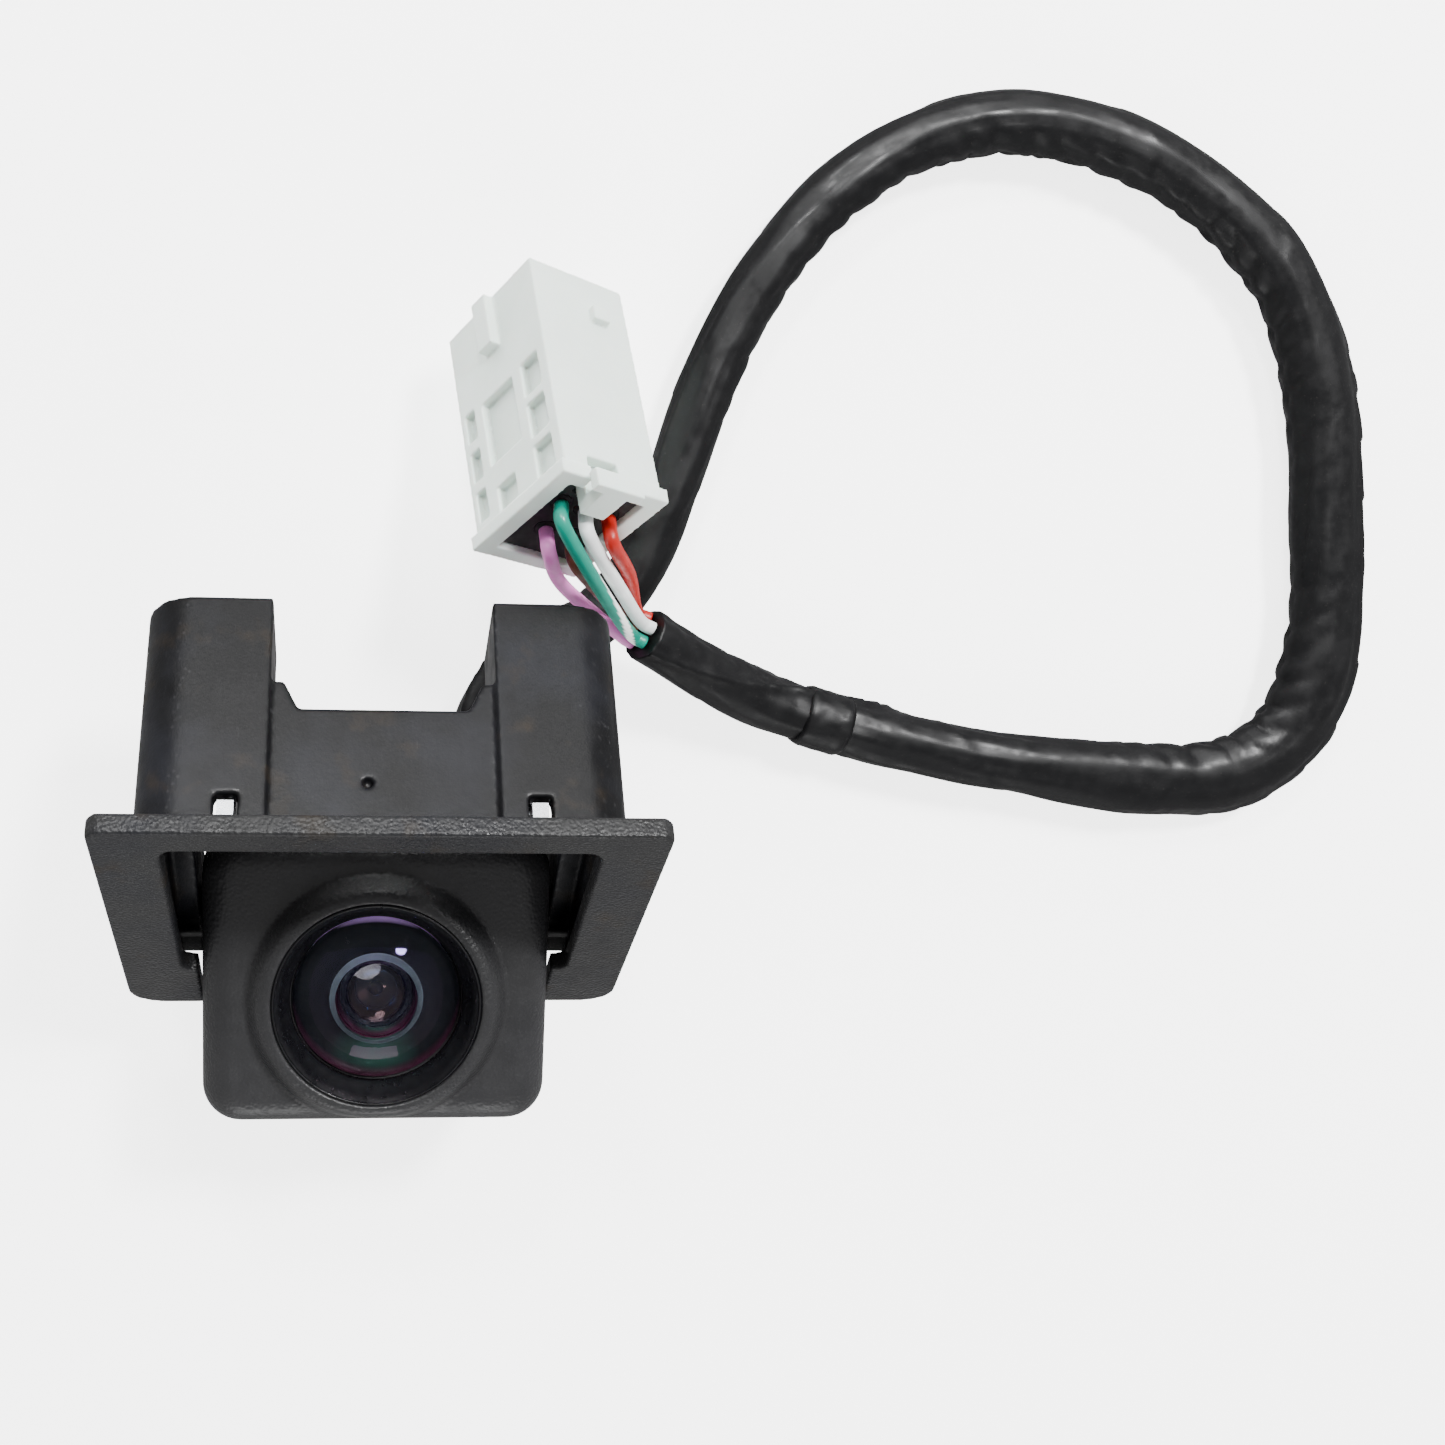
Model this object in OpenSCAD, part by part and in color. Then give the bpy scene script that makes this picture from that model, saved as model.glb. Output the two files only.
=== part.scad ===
// Vehicle backup camera kit: a camera module in a trim bracket, with its
// wrapped harness and plug. The camera stands on its back, lens up, and the
// trim flange leans at the angle it has on the vehicle body.
// X is across the flange, Y points from the lens to the harness, Z is the
// lens axis. Lengths are millimetres.

/* [Trim bracket] */
// Width of the trim flange
flange_w = 46; // [44:0.5:52]
// Height of the trim flange, along its own face
flange_h = 35.4; // [34:0.2:38]
// Thickness of the trim flange
flange_t = 1.8; // [1.6:0.1:2.2]
// Lean of the flange from upright
tilt = 40; // [38:1:42]
// Depth of the two towers behind the flange's front
tower_l = 23.3; // [21:0.1:24]
// Depth of the wall between the towers
middle_l = 12.7; // [11:0.1:14]
// Outer width of the box behind the flange
box_w = 40; // [39:0.5:42]

/* [Camera case] */
// Width of the case
case_w = 31.6; // [30:0.2:32]
// Distance from the lens axis to the front side of the case
case_front = 12.4; // [12:0.2:13]
// Distance from the lens axis to the cable side of the case
case_back = 15; // [14.6:0.1:15]
// Height of the case from its back to its face
case_h = 20; // [19.5:0.1:20.5]
// Wall of the case
case_wall = 1.5; // [1.3:0.1:1.7]

/* [Lens] */
// Radius of the front glass
glass_r = 7.6; // [7.2:0.1:7.6]
// Rise of the front glass dome
glass_rise = 3; // [2.4:0.1:3.4]
// Radius of the raised ring on the face
boss_r = 11.4; // [11:0.1:11.8]
// Height of the raised ring
boss_h = 2; // [1.6:0.1:2.4]

/* [Harness and plug] */
// Diameter of the wrapped harness
harness_d = 5.8; // [5:0.1:5.8]
// Diameter of one insulated wire
wire_d = 1.3; // [1.1:0.1:1.3]
// Width of the plug shell
plug_w = 10.5; // [10.4:0.1:11]
// Height of the plug shell
plug_h = 12.8; // [12.4:0.1:12.8]
// Length of the plug shell
plug_l = 23; // [22:0.5:23]

/* [Hidden] */
$fn = 64;
eps = 0.01;

// Colours
satin_black = [0.10, 0.10, 0.11];
deep_black = [0.03, 0.03, 0.035];
steel = [0.70, 0.71, 0.73];
gold = [0.83, 0.66, 0.30];
board_green = [0.05, 0.30, 0.16];
plug_grey = [0.80, 0.84, 0.81];
glass_tint = [0.20, 0.22, 0.32, 0.6];

// Bracket
flange_top_y = 19.55;   // flange's top front edge, from the lens axis
flange_top_z = 38.3;    // and above the ground
box_wall = 1.6;
box_drop = 1.6;         // step from the flange's top edge to the box
box_r = 4;              // rounding of the box's long edges
window_w = 35;
window_top = 3.2;       // border above the window
window_h = 24.3;
foot_gap = 0.4;         // gap from the case to the flange's feet
middle_x = 9.3;         // half width of the wall between the towers
middle_sink = 0.5;      // that wall lies lower than the towers
ramp_x = 7;
ramp_l = 2.6;
inner_wall_y = 6.4;     // towers' inner walls start behind the window
pad_gap = 0.4;          // gap from the case to the pads in the cheeks
pin_mark = [-1.3, 5.8]; // moulding mark in the middle wall
cheek_h = 31.6;         // depth of the side cheeks below the box's top
slot_x = 12.5;          // clip slots, from the middle
slot_w = 1.9;
slot_y = 1.95;
slot_l = 2.5;
bar_y = 17;             // moulded bar that each clip hooks on
bar_z = -5.6;
bar_r = 0.6;

// Case
case_mid_y = (case_back - case_front) / 2;
case_l = case_front + case_back;
case_r = 3.6;
split_z = 8;            // top of the rear housing
seal_h = 0.6;
front_z = split_z + seal_h;
floor_t = 1.4;
screw_x = case_w / 2 - 2.7;
screw_front = -case_front + 2.7;
screw_back = case_back - 2.7;
side_screw_y = 6;       // axis of the bracket's side screws
side_screw_z = 11.5;
gland_x = 9.5;
gland_z = 4.2;
gland_r = 2.4;

// Lens stack heights, from the ground
barrel_z = 7.2;
seat_z = 18.6;          // seat of the front glass
rim_z = 19.4;           // top of the barrel head
ring_z = 17.3;          // retaining ring, under the front glass
middle_z = 13.9;        // middle glass
stop_z = 12.7;          // aperture stop
head_z = 15.6;          // shoulder of the barrel head
head_r = 8.2;
barrel_r = 6.1;
barrel_bore_r = 5.3;

// The whole camera stands so that its plan is centred on the origin
bracket_back = flange_top_y + tower_l * cos(tilt) - box_drop * sin(tilt);
lens_y = -(bracket_back - case_front) / 2;

// Plug: its middle, and its turn, tip and roll on the ground
plug_mid = [14.9, 40.2, 13.6];
plug_yaw = 7;
plug_pitch = -35;
plug_roll = 34;
plug_wall = 1.2;
pocket_depth = 0.85;    // pockets in the plug's left wall
insert_l = 12;
insert_recess = 0.6;      // insert's wire end, inside the shell's rim
wire_spots = [[-2.6, 2.2], [0, 2.2], [2.6, 2.2], [-1.4, -1.6], [1.4, -1.6]];
terminal_l = 9;
seal_l = 1.6;
tab_x = -1;              // lock tab, from the middle of the plug's top

// Harness route, from the grommet to the cut end of the wrap
harness_points = [
    [9.5, 8.1, 4.2], [9.7, 10.2, 4], [11.8, 14.8, 3.3], [16, 18, 3],
    [20.4, 20.4, 3], [24.2, 24.2, 3], [26.8, 29.8, 3], [29.4, 38.2, 3],
    [32.4, 47.4, 3], [37.8, 57, 3], [46.8, 65.8, 3], [59.6, 70, 3],
    [73.4, 67.4, 3], [85.4, 60.2, 3], [92.4, 49.8, 3], [95.6, 35, 3],
    [97.2, 20.5, 3], [94.4, 10.4, 3], [86, 6, 3], [70, 6.8, 3],
    [53.2, 9.4, 3], [38.4, 13.6, 3.6], [31, 17.2, 6.4], [25.2, 20.6, 8.8]
];

// ---- Vectors and swept tubes ----

function unit(v) = v / norm(v);

// Catmull-Rom point between b and c
function spline_point(a, b, c, d, t) =
    ((2 * b) + (c - a) * t + (2 * a - 5 * b + 4 * c - d) * t * t
    + (3 * b - a - 3 * c + d) * t * t * t) / 2;

function ends_added(p) = concat(
    [2 * p[0] - p[1]], p, [2 * p[len(p) - 1] - p[len(p) - 2]]);

function smooth_path(points, steps) = let (q = ends_added(points))
    concat(
        [for (i = [1:len(q) - 3]) for (s = [0:steps - 1])
            spline_point(q[i - 1], q[i], q[i + 1], q[i + 2], s / steps)],
        [points[len(points) - 1]]);

function path_direction(p, i) =
    unit(p[min(i + 1, len(p) - 1)] - p[max(i - 1, 0)]);

function ring(p, i, r, sides) = let (
    along = path_direction(p, i),
    side = unit(cross(along, [0, 0, 1])),
    up = cross(side, along))
    [for (k = [0:sides - 1]) p[i]
        + r * cos(360 * k / sides) * side + r * sin(360 * k / sides) * up];

module tube(points, r, steps, sides) {
    path = smooth_path(points, steps);
    n = len(path);
    rings = [for (i = [0:n - 1]) each ring(path, i, r, sides)];
    walls = [for (i = [0:n - 2]) for (k = [0:sides - 1])
        let (a = i * sides + k, b = i * sides + (k + 1) % sides)
        each [[a, b, b + sides], [a, b + sides, a + sides]]];
    start_cap = [[for (k = [sides - 1:-1:0]) k]];
    end_cap = [[for (k = [0:sides - 1]) (n - 1) * sides + k]];
    polyhedron(rings, concat(walls, start_cap, end_cap), convexity = 8);
}

// ---- Places ----

module at_camera() {
    translate([0, lens_y, 0]) children();
}

// Bracket coordinates: Y runs back from the flange's front face, Z is down
// its face, from its top edge
module at_bracket() {
    at_camera()
        translate([0, flange_top_y, flange_top_z])
            rotate([-tilt, 0, 0]) children();
}

module at_plug() {
    translate(plug_mid)
        rotate([0, 0, plug_yaw]) rotate([plug_pitch, 0, 0])
            rotate([0, plug_roll, 0]) children();
}

function rolled(p) = [
    p[0] * cos(plug_roll) + p[2] * sin(plug_roll), p[1],
    p[2] * cos(plug_roll) - p[0] * sin(plug_roll)];
function pitched(p) = [
    p[0], p[1] * cos(plug_pitch) - p[2] * sin(plug_pitch),
    p[1] * sin(plug_pitch) + p[2] * cos(plug_pitch)];
function yawed(p) = [
    p[0] * cos(plug_yaw) - p[1] * sin(plug_yaw),
    p[0] * sin(plug_yaw) + p[1] * cos(plug_yaw), p[2]];
function plug_point(p) = plug_mid + yawed(pitched(rolled(p)));

// Rectangle with round corners, from true arcs
module round_rect(w, l, r) {
    square([w - 2 * r, l], center = true);
    square([w, l - 2 * r], center = true);
    for (x = [-1, 1], y = [-1, 1])
        translate([x * (w / 2 - r), y * (l / 2 - r)]) circle(r);
}

// ---- Trim bracket ----

module flange_outline() {
    translate([0, -flange_h / 2]) round_rect(flange_w, flange_h, 3);
    translate([0, -flange_h / 4]) round_rect(flange_w, flange_h / 2, 1.2);
}

module flange_cutouts() {
    translate([0, -window_top - window_h / 2])
        round_rect(window_w, window_h, 1.2);
    translate([-case_w / 2 - foot_gap, -flange_h - 1])
        square([case_w + 2 * foot_gap, flange_h - window_top - 4]);
}

// Section of the box, open below, seen from the front
module box_section(w, h, r) {
    translate([-w / 2 + r, -h]) square([w - 2 * r, h]);
    translate([-w / 2, -h]) square([w, h - r]);
    for (x = [-1, 1]) translate([x * (w / 2 - r), -r]) circle(r);
}

module box_wall_section() {
    difference() {
        box_section(box_w, cheek_h, box_r);
        translate([0, -box_wall])
            box_section(box_w - 2 * box_wall, cheek_h, box_r - box_wall);
    }
}

// Extrudes a section drawn in X and Z back along Y
module back_to(length) {
    translate([0, length, 0]) rotate([90, 0, 0])
        linear_extrude(length) children();
}

// Removes what lies behind and below the cheeks' sloping lower edge
module cheek_trim() {
    rotate([90, 0, 90]) translate([0, 0, -box_w])
        linear_extrude(2 * box_w)
            polygon([[12, -cheek_h - 2], [12, -cheek_h], [tower_l + 1, -16],
                [tower_l + 1, -cheek_h - 2]]);
}

module middle_notch() {
    translate([0, 0, -9]) linear_extrude(10)
        polygon([[-middle_x, tower_l + 1], [-middle_x, middle_l + ramp_l],
            [-ramp_x - 1.2, middle_l + ramp_l], [-ramp_x, middle_l],
            [ramp_x, middle_l], [ramp_x + 1.2, middle_l + ramp_l],
            [middle_x, middle_l + ramp_l], [middle_x, tower_l + 1]]);
}

module tower_inner_wall(side) {
    translate([side * middle_x - (side < 0 ? box_wall : 0),
        inner_wall_y, -box_drop - 9])
        cube([box_wall, tower_l - inner_wall_y, 9 - box_wall + eps]);
}

// Fills the cheek out to the camera case, behind the window
pad_high_y = 9;
pad_low_y = 4.2;
pad_back_y = 12;
pad_top = -box_drop - 4;
pad_foot = -box_drop - cheek_h;

module cheek_pad(side) {
    pad_x = case_w / 2 + pad_gap;
    pad_w = box_w / 2 - box_wall / 2 - pad_x;
    rotate([90, 0, 90])
        translate([0, 0, side > 0 ? pad_x : -pad_x - pad_w])
            linear_extrude(pad_w)
                polygon([[pad_high_y, pad_top], [pad_low_y, pad_foot],
                    [pad_back_y, pad_foot], [pad_back_y, pad_top]]);
}

module clip_bar(side) {
    translate([side > 0 ? middle_x + 1 : -box_w / 2 + 1, bar_y, bar_z])
        rotate([0, 90, 0]) cylinder(r = bar_r, h = box_w / 2 - middle_x - 2);
}

module bracket_box() {
    difference() {
        translate([0, 0, -box_drop]) back_to(tower_l) box_wall_section();
        cheek_trim();
        middle_notch();
        translate([-middle_x, flange_t, -box_drop - middle_sink])
            cube([2 * middle_x, tower_l, 2]);
        translate([pin_mark[0], pin_mark[1], -box_drop - middle_sink - 0.7])
            cylinder(r = 0.45, h = 2);
        for (side = [-1, 1])
            translate([side * slot_x - slot_w / 2, slot_y, -5])
                cube([slot_w, slot_l, 5]);
    }
    for (side = [-1, 1]) {
        tower_inner_wall(side);
        cheek_pad(side);
        clip_bar(side);
    }
}

module side_boss(side) {
    translate([side * (case_w / 2 + 0.05), side_screw_y, side_screw_z])
        rotate([0, side * 90, 0]) cylinder(r = 2.4, h = 2.8);
}

module side_screw_hole(side, r) {
    translate([side * case_w / 2, side_screw_y, side_screw_z])
        rotate([0, side * 90, 0]) cylinder(r = r, h = 6);
}

module trim_bracket() {
    color(satin_black)
    difference() {
        union() {
            at_bracket() {
                back_to(flange_t) difference() {
                    flange_outline();
                    flange_cutouts();
                }
                bracket_box();
            }
            at_camera() for (side = [-1, 1]) side_boss(side);
        }
        at_camera() for (side = [-1, 1]) side_screw_hole(side, 1.05);
    }
}

// ---- Spring clips, hooked on the moulded bars ----

clip_t = 0.4;
clip_w = 1.3;
curl_r = 0.66;

module clip_spring() {
    translate([-clip_w / 2, 0, 0]) {
        translate([0, bar_y, bar_z]) rotate([0, 90, 0]) difference() {
            cylinder(r = curl_r + clip_t, h = clip_w);
            translate([0, 0, -1]) cylinder(r = curl_r, h = clip_w + 2);
        }
        translate([0, 2.45, bar_z + curl_r])
            cube([clip_w, bar_y - 2.45, clip_t]);
        translate([0, 2.45, bar_z + curl_r])
            cube([clip_w, 1.5, 3.1]);
    }
}

module clip_spring_left() {
    color(steel) at_bracket() translate([-slot_x, 0, 0]) clip_spring();
}

module clip_spring_right() {
    color(steel) at_bracket() translate([slot_x, 0, 0]) clip_spring();
}

// ---- Camera case ----

module case_plan(inset) {
    translate([0, case_mid_y])
        round_rect(case_w - 2 * inset, case_l - 2 * inset, case_r - inset);
}

module case_corners() {
    for (x = [-screw_x, screw_x], y = [screw_front, screw_back])
        translate([x, y, 0]) children();
}

// Face with rolled edges
module face_roll() {
    hull() {
        translate([0, 0, case_h - 3.2]) linear_extrude(0.1, $fn = 32)
            case_plan(0);
        translate([0, 0, case_h - 1.3]) linear_extrude(0.1, $fn = 32)
            case_plan(0.5);
        translate([0, 0, case_h - 0.4]) linear_extrude(0.1, $fn = 32)
            case_plan(1.3);
        translate([0, 0, case_h - 0.1]) linear_extrude(0.1, $fn = 32)
            case_plan(2.4);
    }
}

module front_housing() {
    color(satin_black) at_camera()
    difference() {
        union() {
            difference() {
                union() {
                    translate([0, 0, front_z])
                        linear_extrude(case_h - 3.15 - front_z) case_plan(0);
                    face_roll();
                }
                translate([0, 0, front_z - 1])
                    linear_extrude(case_h - 2.4 - front_z + 1)
                        case_plan(case_wall);
            }
            translate([0, 0, case_h - 0.2])
                cylinder(r1 = boss_r, r2 = boss_r - 1, h = boss_h + 0.2);
            translate([0, 0, head_z - 1.2])
                cylinder(r = 9.8, h = case_h - head_z + 1);
            case_corners() translate([0, 0, front_z])
                cylinder(r = 2, h = 10);
            for (side = [-1, 1])
                translate([side * (case_w / 2 - 1), side_screw_y,
                    side_screw_z])
                    rotate([0, -side * 90, 0]) cylinder(r = 2, h = 3.4);
        }
        translate([0, 0, head_z]) cylinder(r = head_r + 0.03, h = 10);
        translate([0, 0, front_z]) cylinder(r = barrel_r + 0.03, h = 10);
        translate([0, 0, rim_z]) cylinder(r = 9.5, h = 10);
        case_corners() translate([0, 0, front_z - 1])
            cylinder(r = 0.7, h = 7);
        for (side = [-1, 1])
            translate([side * (case_w / 2 + 1), side_screw_y, side_screw_z])
                rotate([0, -side * 90, 0]) cylinder(r = 0.82, h = 5);
    }
}

module rear_housing() {
    color(satin_black) at_camera()
    difference() {
        union() {
            difference() {
                linear_extrude(split_z) case_plan(0.15);
                translate([0, 0, floor_t]) linear_extrude(split_z)
                    case_plan(case_wall);
            }
            case_corners() translate([0, 0, 0.5])
                cylinder(r = 2, h = split_z - 0.5);
            for (x = [-9, 9], y = [-7, 4])
                translate([x, y, floor_t - eps]) cylinder(r = 1, h = 0.6);
        }
        case_corners() translate([0, 0, -1]) {
            cylinder(r = 0.95, h = split_z + 2);
            cylinder(r = 1.7, h = 2.5);
        }
        translate([gland_x, case_back - 3, gland_z])
            rotate([-90, 0, 0]) cylinder(r = gland_r, h = 5);
    }
}

module housing_seal() {
    color(deep_black) at_camera()
    translate([0, 0, split_z]) linear_extrude(seal_h) difference() {
        case_plan(0.45);
        case_plan(case_wall);
    }
}

module housing_screws() {
    color(steel) at_camera() case_corners() difference() {
        union() {
            translate([0, 0, 0.4]) cylinder(r = 1.5, h = 1.1);
            translate([0, 0, 1.5]) cylinder(r = 0.68, h = 11.5);
        }
        translate([0, 0, 0.4 - eps]) cylinder(r = 0.7, h = 0.6, $fn = 6);
    }
}

module mounting_screws() {
    color(steel) at_camera() for (side = [-1, 1])
        translate([0, side_screw_y, side_screw_z]) rotate([0, side * 90, 0])
            difference() {
                union() {
                    translate([0, 0, case_w / 2 - 3])
                        cylinder(r = 0.8, h = 7.3);
                    translate([0, 0, box_w / 2 + 0.02])
                        cylinder(r = 1.8, h = 1);
                }
                translate([0, 0, box_w / 2 + 0.5])
                    cylinder(r = 0.8, h = 1, $fn = 6);
            }
}

// ---- Lens ----

module lens_hood() {
    color(deep_black) at_camera() translate([0, 0, rim_z]) difference() {
        cylinder(r = 9.45, h = case_h + boss_h - rim_z - 0.1);
        translate([0, 0, 0.6]) cylinder(r1 = 7.8, r2 = 9.2, h = 2);
        translate([0, 0, -1]) cylinder(r = 7.8, h = 5);
    }
}

dome_r = (glass_r * glass_r + glass_rise * glass_rise) / (2 * glass_rise);
hollow_r = 4.2;

module lens_front_element() {
    color(glass_tint) at_camera() difference() {
        intersection() {
            translate([0, 0, seat_z]) cylinder(r = glass_r, h = 6);
            translate([0, 0, rim_z + glass_rise - dome_r]) sphere(dome_r);
        }
        translate([0, 0, rim_z + glass_rise - 1.4 - hollow_r])
            sphere(hollow_r);
    }
}

module lens_barrel() {
    color(deep_black) at_camera() difference() {
        union() {
            translate([0, 0, head_z])
                cylinder(r = head_r, h = rim_z - head_z);
            translate([0, 0, barrel_z])
                cylinder(r = barrel_r, h = head_z - barrel_z + eps);
        }
        translate([0, 0, 9.4]) cylinder(r = barrel_bore_r, h = 20);
        translate([0, 0, seat_z]) cylinder(r = glass_r + 0.03, h = 5);
        translate([0, 0, barrel_z - 1]) cylinder(r = 4, h = 5);
        translate([0, 0, barrel_z - 1]) cylinder(r = 4.6, h = 1.5);
        translate([0, 0, 16.9]) difference() {
            cylinder(r = head_r + 1, h = 1.2);
            translate([0, 0, -1]) cylinder(r = 7.1, h = 4);
        }
    }
}

module lens_o_ring() {
    color(deep_black) at_camera() translate([0, 0, 17.5])
        rotate_extrude() translate([7.66, 0]) circle(0.54);
}

module lens_retaining_ring() {
    color([0.55, 0.60, 0.72]) at_camera() translate([0, 0, ring_z])
        difference() {
            cylinder(r = barrel_bore_r - 0.03, h = 1.2);
            translate([0, 0, -1]) cylinder(r = 3.3, h = 3);
            translate([0, 0, 0.7]) cylinder(r1 = 3.3, r2 = 3.8, h = 0.6);
        }
}

module lens_middle_element() {
    color(glass_tint) at_camera() difference() {
        translate([0, 0, middle_z])
            cylinder(r = barrel_bore_r - 0.03, h = ring_z - middle_z);
        translate([0, 0, ring_z + 6.4]) sphere(7.4);
    }
}

module lens_spacer() {
    color(deep_black) at_camera() translate([0, 0, stop_z + 0.2]) difference() {
        cylinder(r = barrel_bore_r - 0.03, h = 1);
        translate([0, 0, -1]) cylinder(r = 3.2, h = 3);
    }
}

module aperture_stop() {
    color(deep_black) at_camera() translate([0, 0, stop_z]) difference() {
        cylinder(r = barrel_bore_r - 0.03, h = 0.2);
        translate([0, 0, -1]) cylinder(r = 1.3, h = 3);
    }
}

module lens_rear_element() {
    color(glass_tint) at_camera() intersection() {
        translate([0, 0, 9.4])
            cylinder(r = barrel_bore_r - 0.03, h = stop_z - 9.4);
        translate([0, 0, stop_z - 9]) sphere(9);
    }
}

module ir_filter() {
    color([0.45, 0.65, 0.62, 0.7]) at_camera()
        translate([0, 0, barrel_z]) cylinder(r = 4.55, h = 0.5);
}

// ---- Electronics ----

sensor_board_z = 4.6;
power_board_z = 2;

module board(w, l, t) {
    linear_extrude(t) round_rect(w, l, 1);
}

module image_sensor() {
    color([0.12, 0.13, 0.16]) at_camera()
        translate([-3.5, -2.8, sensor_board_z + 1]) cube([7, 5.6, 1.2]);
}

module sensor_board() {
    color(board_green) at_camera() translate([0, 0, sensor_board_z])
        difference() {
            translate([0, 0.6, 0]) board(21, 20, 1);
            for (x = [-9, 9]) translate([x, 0.6, -1]) cylinder(r = 0.7, h = 3);
        }
}

module board_screws() {
    color(steel) at_camera() for (x = [-9, 9])
        translate([x, 0.6, 0]) {
            translate([0, 0, sensor_board_z + 1]) cylinder(r = 1.2, h = 0.8);
            translate([0, 0, power_board_z + 1]) cylinder(r = 0.65, h = 2.7);
        }
}

module power_board() {
    color(board_green) at_camera() translate([0, -1.8, power_board_z])
        board(21, 15, 1);
}

module board_header() {
    color(deep_black) at_camera()
        translate([-5, -8.4, power_board_z + 1])
            cube([10, 2.4, sensor_board_z - power_board_z - 1]);
}

module processor_chip() {
    color([0.12, 0.13, 0.16]) at_camera()
        translate([-3, -4.8, power_board_z + 1]) cube([6, 6, 0.9]);
}

module board_components() {
    color([0.72, 0.62, 0.45]) at_camera() {
        for (x = [-7.5, 7.5], y = [-6, -3])
            translate([x - 0.8, y - 0.5, sensor_board_z + 1])
                cube([1.6, 1, 0.7]);
        for (x = [-6.5, 5], y = [-3.6, 1.6])
            translate([x, y, power_board_z + 1]) cube([1.5, 1.2, 0.8]);
    }
}

module cable_grommet() {
    color(deep_black) at_camera()
        translate([gland_x, case_back, gland_z]) rotate([-90, 0, 0]) {
            translate([0, 0, -case_wall - 0.8])
                cylinder(r = gland_r - 0.02, h = case_wall + 1);
            cylinder(r = 3.6, h = 1.2);
            cylinder(r = 3, h = 4.8);
        }
}

// ---- Harness and wires ----

module harness() {
    color(deep_black) tube(harness_points, harness_d / 2, 2, 12);
}

wrap_end = harness_points[len(harness_points) - 1];
wrap_way = unit(wrap_end - harness_points[len(harness_points) - 2]);
wrap_side = unit(cross(wrap_way, [0, 0, 1]));
wrap_up = cross(wrap_side, wrap_way);
bundle_r = 1.45;

// Where a wire leaves the wrap, by its angle in the bundle
function wrap_spot(angle, ahead) = wrap_end + ahead * wrap_way
    + bundle_r * (cos(angle) * wrap_side + sin(angle) * wrap_up);

wire_start = -plug_l / 2 + insert_recess;

module wire(spot, angle, bow) {
    hole = wire_spots[spot];
    tube([
        plug_point([hole[0], wire_start - 0.35, hole[1]]),
        plug_point([hole[0], wire_start - 3, hole[1]]),
        bow,
        wrap_spot(angle, 2),
        wrap_spot(angle, 0.25)
    ], wire_d / 2, 2, 8);
}

module wire_pink() {
    color([0.85, 0.45, 0.75]) wire(3, 202, [16.7, 25.2, 12.7]);
}

module wire_green() {
    color([0.05, 0.55, 0.45]) wire(0, 121, [20.7, 23.6, 16.3]);
}

module wire_white() {
    color([0.92, 0.93, 0.92]) wire(1, 58, [21.4, 25.3, 16.0]);
}

module wire_brown() {
    color([0.42, 0.22, 0.14]) wire(4, 273, [20.0, 24.8, 13.1]);
}

module wire_red() {
    color([0.80, 0.16, 0.10]) wire(2, 347, [22.4, 26.5, 14.8]);
}

// ---- Plug ----

module plug_block(w, l, h, y) {
    translate([-w / 2, y - l / 2, -h / 2]) cube([w, l, h]);
}

// A shallow pocket in the left wall, by its place along Y and Z
module left_pocket(y, z, l, h) {
    translate([-plug_w / 2 - 1, y - l / 2, z - h / 2])
        cube([1 + pocket_depth, l, h]);
}

module connector_shell() {
    color(plug_grey) at_plug() difference() {
        union() {
            plug_block(plug_w, plug_l, plug_h, 0);
            translate([-plug_w / 2 - 1.1, plug_l / 2 - 5.6, -1.2])
                cube([1.3, 5.4, 2]);
            translate([plug_w / 2 - 0.2, plug_l / 2 - 11.8, 3.4])
                cube([1, 5.9, 2.2]);
            translate([0.8, plug_l / 2 - 5, plug_h / 2 - eps])
                cube([1.8, 1.5, 0.7]);
            plug_block(plug_w + 1, 1.4, plug_h + 0.6, -plug_l / 2 + 0.7);
        }
        plug_block(plug_w - 2 * plug_wall, plug_l + 2,
            plug_h - 2 * plug_wall, 0);
        for (y = [-8.2, -3.9, 0.4]) left_pocket(y, 4, 3.4, 2.4);
        left_pocket(-1.4, -0.8, 6.6, 4.6);
        left_pocket(-8.4, -1.4, 2.4, 2.6);
        for (y = [-7.6, -3.4, 0.8]) left_pocket(y, -5, 3, 1.4);
        translate([tab_x - 1.65, -plug_l / 2 - 1, plug_h / 2 - plug_wall - 0.1])
            cube([3.3, 3.6, 4]);
    }
}

module connector_insert() {
    color(deep_black) at_plug() difference() {
        plug_block(plug_w - 2 * plug_wall - 0.1, insert_l,
            plug_h - 2 * plug_wall - 0.1,
            wire_start + insert_l / 2);
        for (spot = wire_spots)
            translate([spot[0], wire_start - 1, spot[1]])
                rotate([-90, 0, 0]) cylinder(r = 0.95, h = insert_l + 2);
        translate([tab_x - 1.65, wire_start - 1, plug_h / 2 - 2.7])
            cube([3.3, 8.6, 3]);
    }
}

module connector_lock_tab() {
    color(plug_grey) at_plug()
        translate([tab_x, -plug_l / 2 - 1.6, plug_h / 2]) {
            translate([-1.3, 0, -2.5]) cube([2.6, 5, 1.2]);
            translate([-1.3, 0, -1.4]) cube([2.6, 1.3, 2.3]);
            translate([-2.5, 0, 0.7]) cube([5, 1.8, 1]);
        }
}

module connector_terminals() {
    color(gold) at_plug() for (spot = wire_spots)
        translate([spot[0], wire_start + seal_l, spot[1]])
            rotate([-90, 0, 0]) cylinder(r = 0.9, h = terminal_l);
}

module connector_seals() {
    color([0.75, 0.45, 0.20]) at_plug() for (spot = wire_spots)
        translate([spot[0], wire_start + eps, spot[1]])
            rotate([-90, 0, 0]) cylinder(r = 0.94, h = seal_l - 2 * eps);
}

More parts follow.
